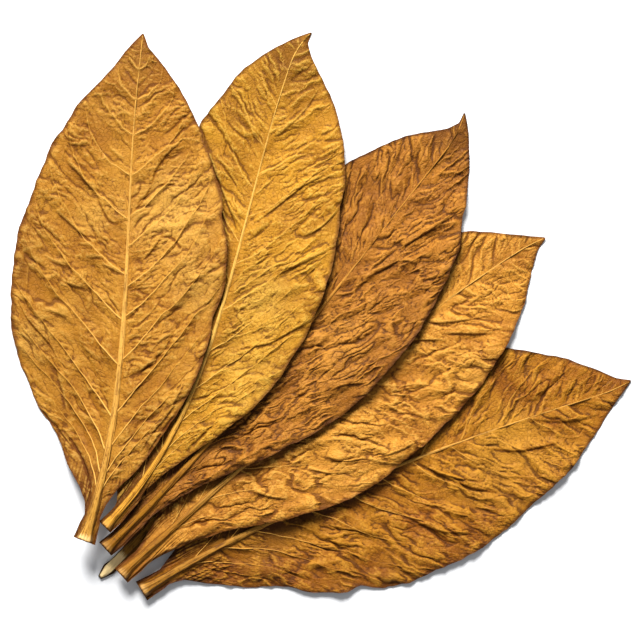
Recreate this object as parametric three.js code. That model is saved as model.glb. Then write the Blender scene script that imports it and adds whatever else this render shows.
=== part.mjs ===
// A fan of six cut and cured tobacco leaves, laid one over the next on a level surface.
// Millimetres, +Z up. The surface is z = 0, and the origin is under the middle of the fan.
// Each leaf is two solids: a thin blade, and the rib that runs from its cut butt up the middle of the blade.

import * as THREE from "three";
import { mergeVertices } from "three/addons/utils/BufferGeometryUtils.js";

// ---- Driving sizes ----

// A blade is a hundredth of its leaf's length thick in the middle, and thins towards its margins.
const THICKNESS_SHARE = 0.0101;
const MARGIN_THICKNESS = 0.5;
const BLADE_STARTS = 0.05; // share of the length where the wings of the petiole open into the blade
const WAIST = 0.84; // half-width of those wings at that place, as a share of the half-width at the butt
const TIP_HALF_WIDTH = 0.9;
const POINT_LENGTH = 0.035; // share of the length over which a slanting cut brings a butt to a point
const POINT_SIZE = 0.25; // size of the butt at that point, as a share of its full size
const TIP_TAPER_STARTS = 0.9;
const HOOK_STARTS = 0.93; // share of the length where the tip begins to bend aside

const RIB_TAPER = 2;
const RIB_TIP_RADIUS = 0.5;
const RIB_CROWN = 0.95; // height over the rib's widest line, in radii
const RIB_KEEL = 0.3; // depth under that line, in radii
const RIB_CLEARANCE = 0.4; // the rib lies this far clear of the trough in its blade
const TROUGH_FLOOR = 1.3; // thickness that is left of the blade under its rib
const TROUGH_LIP = 0.9; // width over which the blade rises beside its rib
const TROUGH_LIMIT = 0.8; // the trough takes no more than this share of a narrow wing
const LIP_LIMIT = 0.92; // and nor does the trough with its lip

// How the margins of a leaf rise over what it lies on, in waves.
const LIFT_STARTS = 0.25; // where the rise begins, from the lip of the trough at 0 to the margin at 1
const WAVE_SHARE = 0.35; // share of the rise by which it swells and sinks

// How a leaf lies over what is under it. It is too stiff to follow anything shorter than these.
const REACH = 34;
const BEND = 16;
const REST_GAP = 0.35; // how near it comes to the highest place under it
const CELL = 2; // the pile's height is known at points this far apart
const CELLS_ACROSS = 370;

// How finely a blade and a rib are divided. The rows of the two lie at the same places, and the rib stops
// short of the tip.
const BLADE_ROWS = 26;
const BLADE_COLUMNS = 12;
const RIB_ROWS = 23;
const RIB_SIDES = 8;
const RIB_ENDS = RIB_ROWS / BLADE_ROWS;
const LIP_LINE = 2; // the lengthwise line that runs along the lip of the trough, with the rib's line as 0
const OUTER_LINES = [0.3, 0.6, 0.84, 1]; // places of the lines after that, from lip at 0 to margin at 1

// One row for each leaf, in the order in which they are laid. Headings are in degrees from +X.
// hook is how far the tip bends aside, to the left if above 0.
// Each half of a blade has its greatest half-width, the place of that along the leaf, and how full it is
// towards the base and towards the tip. lift is how far its margin rises, in how many waves.
const LEAVES = [
  {
    name: "leaf_6", butt: [-209, -247], tip: [20, 24], headings: [44, 52], hook: 0,
    buttHalfWidth: 7.5, ribRadius: 4.8, pointed: true,
    left: { width: 50, at: 0.5, base: 1.3, end: 1.4, lift: 0, waves: 2 },
    right: { width: 50, at: 0.5, base: 1.3, end: 1.4, lift: 1, waves: 2 },
  },
  {
    name: "leaf_5", butt: [-169, -259], tip: [293, -61], headings: [31, 17], hook: 4,
    buttHalfWidth: 10.5, ribRadius: 5.6,
    left: { width: 78, at: 0.54, base: 1.0, end: 1.4, lift: 1, waves: 3 },
    right: { width: 107, at: 0.48, base: 1.1, end: 1.15, lift: 7, waves: 4 },
  },
  {
    name: "leaf_4", butt: [-188, -243], tip: [212, 74], headings: [42, 32], hook: -3,
    buttHalfWidth: 8.5, ribRadius: 5.4,
    left: { width: 80, at: 0.52, base: 1.2, end: 1.6, lift: 1, waves: 3 },
    right: { width: 95, at: 0.48, base: 1.35, end: 1.45, lift: 6, waves: 4 },
  },
  {
    name: "leaf_3", butt: [-202, -218], tip: [136, 192], headings: [43, 51], hook: 8,
    buttHalfWidth: 8.5, ribRadius: 5.6,
    left: { width: 80, at: 0.5, base: 1.4, end: 1.75, lift: 1, waves: 3 },
    right: { width: 86, at: 0.5, base: 1.6, end: 1.65, lift: 7, waves: 4 },
  },
  {
    name: "leaf_2", butt: [-202, -197], tip: [-9, 268], headings: [45, 68], hook: -8,
    buttHalfWidth: 7.5, ribRadius: 4.9,
    left: { width: 78, at: 0.48, base: 1.5, end: 1.8, lift: 1, waves: 3 },
    right: { width: 83, at: 0.46, base: 1.65, end: 1.85, lift: 6, waves: 4 },
  },
  {
    name: "leaf_1", butt: [-221, -210], tip: [-168, 267], headings: [71, 81], hook: 1,
    buttHalfWidth: 11, ribRadius: 6.2,
    left: { width: 108, at: 0.45, base: 1.05, end: 0.98, lift: 3, waves: 3 },
    right: { width: 93, at: 0.53, base: 1.05, end: 1.15, lift: 5, waves: 4 },
  },
];

// ---- Materials ----

const cured = (color) => new THREE.MeshStandardMaterial({ color, roughness: 0.75, metalness: 0 });
const BLADE_FINISH = {
  leaf_1: cured(0xb98640),
  leaf_2: cured(0xbd862e),
  leaf_3: cured(0x976329),
  leaf_4: cured(0xb37d35),
  leaf_5: cured(0xa46c28),
  leaf_6: cured(0xa87436),
};
const RIB_FINISH = cured(0xc4923f);

// ---- The shape of a leaf seen from above ----

const clamp01 = (value) => Math.min(1, Math.max(0, value));

// The line of the rib, from the butt at 0 to the tip at 1, with the direction to its left.
function ribLine({ butt, tip, headings, hook }) {
  const [leaves, arrives] = headings.map(
    (degrees) => new THREE.Vector2(1, 0).rotateAround(new THREE.Vector2(), THREE.MathUtils.degToRad(degrees)),
  );
  const leftOf = (direction) => new THREE.Vector2(-direction.y, direction.x);
  const start = new THREE.Vector2(...butt);
  const end = new THREE.Vector2(...tip).addScaledVector(leftOf(arrives), -hook);
  const handle = start.distanceTo(end) / 3;
  const curve = new THREE.CubicBezierCurve(
    start,
    start.clone().addScaledVector(leaves, handle),
    end.clone().addScaledVector(arrives, -handle),
    end,
  );
  curve.arcLengthDivisions = 400;
  return {
    length: curve.getLength(),
    at(along) {
      const left = leftOf(curve.getTangentAt(along));
      const aside = hook * clamp01((along - HOOK_STARTS) / (1 - HOOK_STARTS)) ** 2;
      return { point: curve.getPointAt(along).addScaledVector(left, aside), left };
    },
  };
}

// How much of its full size the petiole has at a place along it.
const petioleSize = (leaf, along) =>
  leaf.pointed ? THREE.MathUtils.lerp(POINT_SIZE, 1, clamp01(along / POINT_LENGTH)) : 1;

// Half-width of one half of a leaf, the wings of its petiole included.
function halfWidth(leaf, half, along) {
  const waist = leaf.buttHalfWidth * WAIST;
  const flare = (leaf.buttHalfWidth - waist) * clamp01(1 - along / BLADE_STARTS) ** 2;
  const open = clamp01((along - BLADE_STARTS) / (1 - BLADE_STARTS));
  const share =
    open < half.at
      ? Math.sin((Math.PI / 2) * (open / half.at) ** half.base)
      : Math.cos((Math.PI / 2) * ((open - half.at) / (1 - half.at)) ** half.end);
  const wing = (waist - TIP_HALF_WIDTH) * clamp01((1 - along) / (1 - TIP_TAPER_STARTS));
  const petiole = petioleSize(leaf, along) * (TIP_HALF_WIDTH + wing + flare);
  return petiole + (half.width - waist) * Math.max(0, share);
}

function ribRadius(leaf, along) {
  const taper = Math.max(0, 1 - along) ** RIB_TAPER;
  return petioleSize(leaf, along) * (RIB_TIP_RADIUS + (leaf.ribRadius - RIB_TIP_RADIUS) * taper);
}

// ---- What the next leaf lies on ----

// Heights of the pile so far, at points CELL apart. Level ground lies round the fan, further than any sweep
// reaches, so a sweep that runs off one end of a row and on to the next meets nothing but that ground.
const emptyPile = () => new Float32Array(CELLS_ACROSS * CELLS_ACROSS);
const toCells = (distance) => distance / CELL + CELLS_ACROSS / 2;

function heightAt(pile, x, y) {
  const [column, row] = [toCells(x), toCells(y)];
  const [left, below] = [Math.floor(column), Math.floor(row)];
  const index = below * CELLS_ACROSS + left;
  const { lerp } = THREE.MathUtils;
  const lower = lerp(pile[index], pile[index + 1], column - left);
  const upper = lerp(pile[index + CELLS_ACROSS], pile[index + CELLS_ACROSS + 1], column - left);
  return lerp(lower, upper, row - below);
}

// Combines every height with those within reach of it, first across and then along the other way.
function swept(pile, reach, combine) {
  const steps = Math.round(reach / CELL);
  const sweep = (heights, stride) =>
    heights.map((own, index) => {
      let total = own;
      for (let step = 1; step <= steps; step++) {
        const before = heights[index - step * stride] ?? 0;
        const after = heights[index + step * stride] ?? 0;
        total = combine(total, combine(before, after));
      }
      return total;
    });
  return sweep(sweep(pile, 1), CELLS_ACROSS);
}

// The smooth surface that a stiff leaf takes over the pile: it is over the pile everywhere, since the two
// averages together reach no further than the highest places were spread.
function draped(pile) {
  const highest = swept(pile, REACH, (a, b) => Math.max(a, b));
  const averaged = (heights) => {
    const count = (2 * Math.round(BEND / CELL) + 1) ** 2;
    return swept(heights, BEND, (a, b) => a + b).map((sum) => sum / count);
  };
  return averaged(averaged(highest));
}

// Calls visit with every point of the pile that a solid covers, and the solid's height over it,
// on its upper side if facing is 1 and on its underside if facing is -1.
function overPile(solid, facing, visit) {
  const corners = solid.getAttribute("position");
  const triangle = new THREE.Triangle();
  const [normal, low, high, point] = [0, 1, 2, 3].map(() => new THREE.Vector3());
  for (let i = 0; i < solid.index.count; i += 3) {
    triangle.setFromAttributeAndIndices(corners, ...[0, 1, 2].map((k) => solid.index.getX(i + k)));
    triangle.getNormal(normal);
    if (normal.z * facing < 0.01) continue;
    low.copy(triangle.a).min(triangle.b).min(triangle.c);
    high.copy(triangle.a).max(triangle.b).max(triangle.c);
    for (let row = Math.ceil(toCells(low.y)); row <= toCells(high.y); row++) {
      for (let column = Math.ceil(toCells(low.x)); column <= toCells(high.x); column++) {
        point.set(column - CELLS_ACROSS / 2, row - CELLS_ACROSS / 2, 0).multiplyScalar(CELL);
        point.z = triangle.a.z - point.clone().sub(triangle.a).setZ(0).dot(normal) / normal.z;
        if (triangle.containsPoint(point)) visit(row * CELLS_ACROSS + column, point.z);
      }
    }
  }
}

// The least height of a solid over what has been laid before it.
function clearanceOver(pile, solid) {
  let least = Infinity;
  overPile(solid, -1, (index, height) => {
    if (pile[index] > 0) least = Math.min(least, height - pile[index]);
  });
  return least;
}

function layOnPile(pile, solid) {
  overPile(solid, 1, (index, height) => {
    pile[index] = Math.max(pile[index], height);
  });
}

// ---- The solids ----

// Moves every vertex of a box or cylinder of unit size to where shape says.
function pressed(geometry, shape) {
  geometry.deleteAttribute("normal");
  geometry.deleteAttribute("uv");
  const place = geometry.getAttribute("position");
  for (let i = 0; i < place.count; i++) {
    place.setXYZ(i, ...shape(place.getX(i), place.getY(i), place.getZ(i)));
  }
  const closed = mergeVertices(geometry, 1e-4);
  closed.computeVertexNormals();
  return closed;
}

// Where a lengthwise line of the blade lies, from the lip of the trough at 0 to the margin at 1.
const beyondLip = (line) => (line > LIP_LINE ? OUTER_LINES[line - LIP_LINE - 1] : 0);

// How far such a line lies from the rib's line.
function lineOffset(line, width, radius) {
  if (line < LIP_LINE) return line * Math.min(radius + RIB_CLEARANCE, width * TROUGH_LIMIT);
  const lip = Math.min(radius + RIB_CLEARANCE + TROUGH_LIP, width * LIP_LIMIT);
  return THREE.MathUtils.lerp(lip, width, beyondLip(line));
}

// A leaf's surfaces, as functions of the place along it and across it, where it lies drop under the drape.
function leafSurfaces(leaf, drape, drop) {
  const rib = ribLine(leaf);
  const under = ({ x, y }) => Math.max(0, heightAt(drape, x, y) - drop);
  const fullThickness = rib.length * THICKNESS_SHARE;

  const spot = (along, offset) => {
    const { point, left } = rib.at(along);
    return point.clone().addScaledVector(left, offset);
  };
  const ribBed = (along) => under(rib.at(along).point) + TROUGH_FLOOR;
  // Its lengthwise lines are numbered from 0 at the rib, below 0 to the right of it and above to the left.
  const blade = (along, line) => {
    const half = line < 0 ? leaf.right : leaf.left;
    const offset = lineOffset(Math.abs(line), halfWidth(leaf, half, along), ribRadius(leaf, along));
    const where = spot(along, offset * Math.sign(line));
    const inTrough = Math.abs(line) < LIP_LINE;
    const beyond = beyondLip(Math.abs(line));
    const wave = 1 - WAVE_SHARE * (1 - Math.sin(2 * Math.PI * half.waves * along));
    const away = Math.sqrt(Math.sin(Math.PI * along)); // from both ends, where the margins lie flat
    const rise = half.lift * wave * away * THREE.MathUtils.smoothstep(beyond, LIFT_STARTS, 1);
    const bottom = under(inTrough ? rib.at(along).point : where) + rise;
    const sheet = fullThickness * (1 - (1 - MARGIN_THICKNESS) * beyond ** 3);
    const underRib = inTrough && along < RIB_ENDS + 0.5 / BLADE_ROWS;
    return { where, bottom, top: bottom + (underRib ? TROUGH_FLOOR : sheet) };
  };
  return { rib, blade, ribBed };
}

function bladeSolid(surfaces) {
  const slab = new THREE.BoxGeometry(1, 1, 1, BLADE_ROWS, BLADE_COLUMNS, 1);
  return pressed(slab, (x, y, z) => {
    const { where, bottom, top } = surfaces.blade(x + 0.5, Math.round(y * BLADE_COLUMNS));
    return [where.x, where.y, z > 0 ? top : bottom];
  });
}

function ribSolid(leaf, surfaces) {
  const bar = new THREE.CylinderGeometry(1, 1, 1, RIB_SIDES, RIB_ROWS);
  return pressed(bar, (x, y, z) => {
    const along = (y + 0.5) * RIB_ENDS;
    const radius = ribRadius(leaf, along);
    const { point, left } = surfaces.rib.at(along);
    const side = point.clone().addScaledVector(left, -x * radius);
    const widest = surfaces.ribBed(along) + RIB_CLEARANCE + radius * RIB_KEEL;
    return [side.x, side.y, widest + z * radius * (z > 0 ? RIB_CROWN : RIB_KEEL)];
  });
}

// ---- The fan ----

const fan = new THREE.Group();
const pile = emptyPile();
for (const leaf of LEAVES) {
  const drape = draped(pile);
  const clearance = clearanceOver(pile, bladeSolid(leafSurfaces(leaf, drape, 0)));
  const surfaces = leafSurfaces(leaf, drape, clearance < Infinity ? clearance - REST_GAP : 0);
  const blade = new THREE.Mesh(bladeSolid(surfaces), BLADE_FINISH[leaf.name]);
  blade.name = `${leaf.name}_blade`;
  const rib = new THREE.Mesh(ribSolid(leaf, surfaces), RIB_FINISH);
  rib.name = `${leaf.name}_rib`;
  fan.add(blade, rib);
  layOnPile(pile, blade.geometry);
  layOnPile(pile, rib.geometry);
}

export default fan;
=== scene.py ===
"""A fan of six cut and cured tobacco leaves, laid one over the next on a pale floor.

Each leaf is a crinkled blade in two halves, with its rib and its side veins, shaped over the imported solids."""

import math
from dataclasses import dataclass, field

import bmesh
import bpy
import numpy as np
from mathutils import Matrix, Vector
from mathutils.bvhtree import BVHTree


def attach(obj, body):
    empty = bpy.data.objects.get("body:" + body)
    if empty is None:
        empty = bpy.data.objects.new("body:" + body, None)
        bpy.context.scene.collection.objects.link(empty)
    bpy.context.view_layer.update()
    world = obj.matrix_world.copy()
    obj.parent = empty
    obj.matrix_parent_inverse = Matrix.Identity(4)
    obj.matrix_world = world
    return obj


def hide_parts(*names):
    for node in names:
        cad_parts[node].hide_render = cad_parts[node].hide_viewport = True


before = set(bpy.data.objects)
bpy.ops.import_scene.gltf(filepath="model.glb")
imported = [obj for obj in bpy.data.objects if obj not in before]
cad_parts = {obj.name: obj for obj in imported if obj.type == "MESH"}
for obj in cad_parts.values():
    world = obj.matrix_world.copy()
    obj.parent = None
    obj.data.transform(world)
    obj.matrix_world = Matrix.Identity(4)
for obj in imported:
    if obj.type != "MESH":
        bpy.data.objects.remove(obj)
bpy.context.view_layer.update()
MM = 0.001

# ---- Sizes, in millimetres, as the solids have them ----

BLADE_STARTS = 0.05  # share of the length where the wings of the petiole open into the blade
WAIST = 0.84
TIP_HALF_WIDTH = 0.9
TIP_TAPER_STARTS = 0.9
HOOK_STARTS = 0.93
POINT_LENGTH = 0.035
POINT_SIZE = 0.25
RIB_TAPER = 2
RIB_TIP_RADIUS = 0.5
RIB_CROWN = 0.95
RIB_ENDS = 23 / 26
THICKNESS_SHARE = 0.0101
MARGIN_THICKNESS = 0.5

# ---- Sizes of the fine surface ----

ROWS = 600
COLUMNS = 120  # in each half
UNDERSIDE_STEP = 3  # the underside has one row and one column for so many of the upper side's
BLADE_THICKNESS = 0.45
RIB_END_SEEN = 0.996  # the rib can be followed to here, past the end of its solid


@dataclass
class Half:
    """One half of a blade: its greatest half-width, where that is, and how full it is to the base and the tip.

    The margin's own bumps and hollows are given as places along the leaf and millimetres outwards."""

    width: float
    at: float
    base: float
    end: float
    margin: list = field(default_factory=lambda: [(0, 0)])
    veins: list = field(default_factory=list)


@dataclass
class Fold:
    """A ridge, or with a negative height a crease, through places given by their share of the length and width.

    With a shelf it is a step, raised on its left and running out over so many millimetres. Brown is how much painted
    shade darkens the blade along the fold's line."""

    points: list
    width: float
    height: float
    shelf: float = 0
    brown: float = 0


@dataclass
class Looks:
    """Colours, and how high each kind of relief is, in millimetres. Crest is a paler tone and also the painted
    highlight on ridges; deep and brown are darker tones and also the painted shade in hollows, creases and shadows.
    """

    crest: str
    light: str
    deep: str
    brown: str
    rib: str
    vein: str
    quilt: float  # sag of the blade between its side veins
    crinkles: float
    swells: float
    wrinkles: list  # angle out from the rib, width, length and height of each kind
    vein_size: float = 1.0
    folds: list = field(default_factory=list)
    stains_and_shadows: list = field(default_factory=list)  # along, across, radius and strength; some darken a leaf beside the margin of the leaf above as painted shadow, the rest are real darker or paler patches
    pith: float = 0.2  # how pale the cut end is
    pale: str = "d2a45e"  # colour of the cut end
    pale_end: float = 8  # how far from the butt it stays pale, in millimetres
    drawn_in: float = 0.25  # how much slimmer the rib has dried near the stalk


@dataclass
class Leaf:
    name: str
    butt: tuple
    tip: tuple
    headings: tuple
    hook: float
    butt_half_width: float
    rib_radius: float
    left: Half
    right: Half
    looks: Looks
    seed: int
    pointed: bool = False


EVEN_VEINS = [0.1, 0.16, 0.23, 0.31, 0.39, 0.47, 0.56, 0.65, 0.73, 0.81, 0.88, 0.94]

LEAVES = [
    Leaf(
        "leaf_6", (-209, -247), (20, 24), (44, 52), 0, 7.5, 4.8,
        Half(50, 0.5, 1.3, 1.4, [(0.03, 0), (0.06, -2), (0.1, -5), (0.16, -9), (0.25, -6), (0.4, 0)], EVEN_VEINS),
        Half(50, 0.5, 1.3, 1.4, veins=EVEN_VEINS),
        # this lowest leaf's cut end is pale straw and is painted paler still as painted light, to offset the shadow of
        # the stalks over it
        Looks("9e742e", "835618", "693f0d", "341b04", "96691f", "9e742e", 1.0, 0.4, 1.4, [(48, 9, 30, 1.6), (85, 7, 16, -1.2)], pith=1.0, pale="fadb9e", pale_end=34, drawn_in=0),
        seed=6, pointed=True,
    ),
    Leaf(
        "leaf_5", (-169, -259), (293, -61), (31, 17), 4, 10.5, 5.6,
        Half(78, 0.54, 1.0, 1.4, [(0.6, 0), (0.7, 5), (0.8, 5.5), (0.85, 3), (0.9, 0.5), (0.95, -0.5), (0.975, -2.5), (1, 0)],
             [0.1, 0.18, 0.26, 0.34, 0.42, 0.5, 0.58, 0.66, 0.74, 0.82, 0.89, 0.94]),
        Half(107, 0.48, 1.1, 1.15, [(0.04, 0), (0.08, -5), (0.11, -2), (0.18, 0), (0.22, -3), (0.25, -4), (0.29, 0),
                                    (0.35, 0), (0.38, -6), (0.42, 0), (0.47, 0), (0.53, -2.5), (0.6, -1), (0.68, -3),
                                    (0.75, -6), (0.84, -3), (0.88, -6), (0.93, -7), (0.97, -5), (1, 0)],
             [0.09, 0.165, 0.235, 0.335, 0.42, 0.49, 0.56, 0.64, 0.72, 0.8, 0.87, 0.93]),
        Looks("ba8429", "9b6415", "7e480b", "3f1d03", "966820", "c89240", 1.4, 0.45, 2.9,
              [(44, 18, 70, 3.4), (38, 9, 38, -1.5), (34, 6.5, 28, 1.1), (48, 4.4, 15, 0.6)], 0.5,
              [Fold([(0.588, -0.13), (0.645, -0.44), (0.696, -0.63)], 1.3, 3, 8, 0.8),
               Fold([(0.567, -0.02), (0.618, -0.27), (0.676, -0.45)], 1.2, 2.4, 6, 0.8),
               Fold([(0.518, -0.47), (0.561, -0.69), (0.615, -0.82)], 1.3, 2.7, 8, 0.8),
               Fold([(0.707, -0.17), (0.757, -0.36), (0.835, -0.51)], 1.3, 2.4, 7, 0.8),
               Fold([(0.796, -0.02), (0.864, -0.32), (0.92, -0.62)], 1.6, 2.4, 9, 0.8)],
              # the stains at 0.27, 0.38, 0.5 and 0.63 along are painted shadow under leaf 4's margin; the others are
              # this leaf's own darker and paler patches
              [(0.2, -0.9, 48, 0.9), (0.1, -0.4, 30, 0.9), (0.55, 0.7, 32, 0.4), (0.68, -0.5, 52, -0.7),
               (0.85, -0.85, 32, -0.5), (0.98, 0, 36, 0.6), (0.38, -0.1, 28, 0.8), (0.27, -0.1, 30, 0.8), (0.5, 0, 26, 0.6),
               (0.63, 0.25, 24, 0.6), (0.76, -0.05, 36, -0.6), (0.45, -0.94, 30, 1), (0.61, -0.91, 26, 0.9), (0.34, -0.9, 26, 0.6)], pith=0.4),
        seed=5,
    ),
    Leaf(
        "leaf_4", (-188, -243), (212, 74), (42, 32), -3, 8.5, 5.4,
        Half(80, 0.52, 1.2, 1.6, [(0.75, 0), (0.8, -3), (0.87, -4.5), (0.95, -5.5), (0.98, -3), (1, 0)],
             [0.1, 0.18, 0.26, 0.35, 0.44, 0.53, 0.62, 0.71, 0.79, 0.86, 0.93]),
        Half(95, 0.48, 1.35, 1.45, [(0, 1.5), (0.03, 3), (0.08, 2), (0.15, 0), (0.2, -1.5), (0.28, 2.5), (0.42, 2), (0.5, 0), (0.7, 0), (0.83, 1), (0.9, 0),
                                    (0.95, -3), (0.975, -4), (1, 0)],
             [0.11, 0.2, 0.29, 0.38, 0.46, 0.55, 0.65, 0.725, 0.824, 0.9]),
        Looks("d09c44", "b17827", "965f1a", "522904", "8c5e18", "cc9a48", 0.8, 0.45, 2.6,
              [(30, 16, 50, 3.2), (48, 9, 26, -1.2), (22, 6.5, 22, 0.8), (60, 4.4, 12, 0.5)], 0.3,
              [Fold([(0.429, -0.49), (0.445, -0.63), (0.484, -0.74)], 1.2, 3, 6, 0.8),
               Fold([(0.387, -0.49), (0.403, -0.6), (0.421, -0.71)], 1.2, 2.7, 5, 0.8),
               Fold([(0.282, -0.37), (0.299, -0.58), (0.322, -0.72)], 1.3, 3, 6, 0.8),
               Fold([(0.495, -0.78), (0.538, -0.89), (0.577, -0.93)], 1.2, 2.7, 5, 0.8),
               Fold([(0.743, -0.27), (0.782, -0.5), (0.818, -0.73)], 1.2, 2.4, 7, 0.8),
               Fold([(0.69, -0.12), (0.735, -0.33)], 1.0, 2.2, 6, 0.8),
               Fold([(0.723, -0.05), (0.774, -0.27), (0.836, -0.56)], 1.0, 1.9, 6, 0.8)],
              # the stains at 0.13, 0.27, 0.4 and 0.53 along are painted shadow under leaf 3's margin; the others are
              # this leaf's own tone
              [(0.97, 0, 36, 0.8), (0.45, -0.6, 50, -0.4), (0.75, -0.9, 30, -0.5), (0.13, 0.2, 32, 0.8), (0.27, -0.15, 26, 0.7),
               (0.4, -0.2, 24, 0.7), (0.53, -0.15, 20, 0.5)], pith=0.35),
        seed=4,
    ),
    Leaf(
        "leaf_3", (-202, -218), (136, 192), (43, 51), 8, 8.5, 5.6,
        Half(80, 0.5, 1.4, 1.75, [(0.76, 0), (0.83, -3), (0.9, -5), (0.93, -6.5), (0.96, -9.5), (0.98, -8), (1, 0)],
             [0.1, 0.18, 0.26, 0.34, 0.43, 0.52, 0.6, 0.68, 0.76, 0.84, 0.92]),
        Half(86, 0.5, 1.6, 1.65, [(0, 0), (0.03, 2.5), (0.07, 1.5), (0.1, -2), (0.2, -4), (0.3, -1), (0.35, -2.5), (0.4, -1), (0.5, -2.5), (0.58, 0),
                                  (0.65, 1), (0.7, -1.5), (0.8, -3), (0.85, -7), (0.9, -7), (0.95, -5), (0.985, -1), (1, 0)],
             [0.1, 0.17, 0.25, 0.33, 0.42, 0.5, 0.58, 0.66, 0.74, 0.82, 0.9]),
        Looks("b67d2f", "965f1b", "7c4a11", "3c1c04", "865808", "b67d2f", 0.7, 0.5, 2.6,
              [(28, 17, 70, 3.6), (22, 9, 38, -2.1), (18, 6.5, 26, 1.5), (34, 4.4, 13, 0.8)], 0.2,
              [Fold([(0.745, -0.31), (0.775, -0.43), (0.847, -0.83)], 1.2, 3.5, 8, 0.8),
               Fold([(0.655, -0.17), (0.699, -0.3), (0.727, -0.4), (0.738, -0.6)], 1.2, 3.5, 8, 0.8),
               Fold([(0.468, -0.69), (0.491, -0.74), (0.522, -0.95)], 1.0, 2.4, 6, 0.8),
               Fold([(0.17, -0.63), (0.221, -0.84), (0.277, -0.79), (0.337, -0.79), (0.371, -0.94)], 2.2, 2.0)],
              # the stains at 0.2 and 0.3 along are painted shadow under leaf 2's margin; the others are this leaf's
              # own tone
              [(0.97, -0.2, 46, 1.3), (0.56, -0.3, 34, -0.4), (0.83, 0.5, 26, -0.4), (0.5, -0.5, 50, -0.4), (0.82, -0.9, 26, 0.5),
               (0.2, 0.3, 30, 0.8), (0.3, -0.1, 22, 0.5)]),
        seed=3,
    ),
    Leaf(
        "leaf_2", (-202, -197), (-9, 268), (45, 68), -8, 7.5, 4.9,
        Half(78, 0.48, 1.5, 1.8, [(0.045, 0), (0.07, 8), (0.1, 15), (0.16, 18), (0.25, 13), (0.36, 3), (0.42, 0), (0.7, 0), (0.78, -3), (0.8, -4), (0.9, -3.5), (0.96, -3), (1, 0)],
             [0.1, 0.17, 0.25, 0.33, 0.41, 0.5, 0.585, 0.69, 0.77, 0.85, 0.92]),
        Half(83, 0.46, 1.65, 1.85, [(0, 0), (0.03, 2), (0.07, 1.5), (0.1, -3), (0.15, -3), (0.2, -1), (0.25, 2), (0.3, 4.5), (0.35, 4), (0.4, 0),
                                    (0.45, 1), (0.5, 3.5), (0.56, 6), (0.62, 6), (0.7, 4), (0.77, 5.5), (0.84, 4.5), (0.9, 1),
                                    (0.93, -2.5), (0.96, -5.5), (0.98, -6), (1, 0)],
             [0.1, 0.16, 0.23, 0.3, 0.375, 0.455, 0.545, 0.635, 0.72, 0.8, 0.87, 0.93]),
        Looks("c49b3f", "a9761c", "936213", "522c03", "c48a2c", "d0a24c", 1.3, 0.42, 2.0,
              [(46, 17, 70, 2.1), (44, 9, 40, -1.2), (50, 6, 25, 1.1), (78, 4.4, 13, 0.6)], 0.4,
              [Fold([(0.405, -0.4), (0.421, -0.65), (0.452, -0.8), (0.489, -1)], 1.2, 3, 9, 0.8),
               Fold([(0.193, -0.81), (0.227, -0.75), (0.261, -0.72)], 1.5, -2.2, 0, 1.0),
               Fold([(0.63, -0.1), (0.661, -0.26), (0.693, -0.41), (0.719, -0.54), (0.747, -0.76)], 1, 2.4, 8, 0.9),
               Fold([(0.625, -0.62), (0.645, -0.79), (0.674, -0.91), (0.693, -0.98)], 1.1, 2.4, 8, 0.8),
               Fold([(0.796, -0.11), (0.852, -0.43), (0.905, -0.77)], 0.9, 1.6, 6, 0.7),
               Fold([(0.734, 0.71), (0.68, 0.42), (0.605, 0.05)], 1.1, 2.4, 6, 1.1),
               Fold([(0.74, 0.78), (0.678, 0.52), (0.608, 0.22)], 1, -1.8, 0, 1.1),
               Fold([(0.543, -0.42), (0.58, -0.71), (0.609, -0.88)], 1.4, 2.2, 8, 0.8)],
              # the stains at 0.08, 0.18 and 0.31 along are painted shadow beside leaf 1's margin, the first also the
              # dark brown wing; the others are this leaf's own tone
              [(0.97, 0, 52, 1.3), (0.8, 0.6, 30, 0.5), (0.35, -0.6, 55, -0.5), (0.55, 0.5, 30, 0.4), (0.08, 0.9, 26, 2.6),
               (0.18, 0.68, 32, 1), (0.86, 0.2, 46, 0.4), (0.31, 0.12, 24, 0.5), (0.51, -0.4, 36, -0.6)]),
        seed=2,
    ),
    Leaf(
        "leaf_1", (-221, -210), (-168, 267), (71, 81), 1, 11, 6.2,
        Half(108, 0.45, 1.05, 0.98, [(0.03, 0), (0.05, -2), (0.075, -6.3), (0.1, -5.5), (0.13, -2.5), (0.15, -2), (0.175, -4.5),
                                     (0.2, -3.5), (0.25, 1), (0.35, 2), (0.45, 0.5), (0.55, 1.5), (0.6, 3.7), (0.65, 2.6),
                                     (0.72, 3.3), (0.775, 5.5), (0.8, 2.8), (0.85, 3.3), (0.88, 0), (0.9, -3.5), (0.93, -2.5),
                                     (0.96, 0)],
             [0.085, 0.122, 0.172, 0.241, 0.346, 0.435, 0.524, 0.633, 0.72, 0.8, 0.87, 0.93]),
        Half(93, 0.53, 1.05, 1.15, [(0.04, 0), (0.08, -6), (0.12, -7.5), (0.15, -4), (0.25, -2.5), (0.3, 0), (0.4, -2), (0.45, -4),
                                    (0.48, -1), (0.53, 1.5), (0.6, 1), (0.65, -2), (0.7, 0), (0.75, -1.3), (0.85, -0.5), (0.9, -1),
                                    (0.95, -2.6), (0.975, -4.8), (1, 0)],
             [0.08, 0.12, 0.18, 0.25, 0.356, 0.441, 0.5, 0.58, 0.64, 0.72, 0.8, 0.87, 0.93]),
        Looks("bc9040", "a06e21", "8b5913", "522904", "b98838", "c79544", 2.0, 0.42, 2.3,
              [(44, 15, 60, 2.8), (85, 8, 24, -0.9), (75, 6, 20, 0.8), (66, 4.4, 12, 0.6)], 0.8,
              [Fold([(0.207, 0.85), (0.174, 0.69), (0.139, 0.49), (0.1, 0.38), (0.057, 0.64)], 1.4, -2.6, 0, 1.3),
               Fold([(0.365, 0.72), (0.305, 0.69), (0.266, 0.65), (0.238, 0.67), (0.205, 0.78)], 4, -1.8, 0, 0.5),
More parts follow.
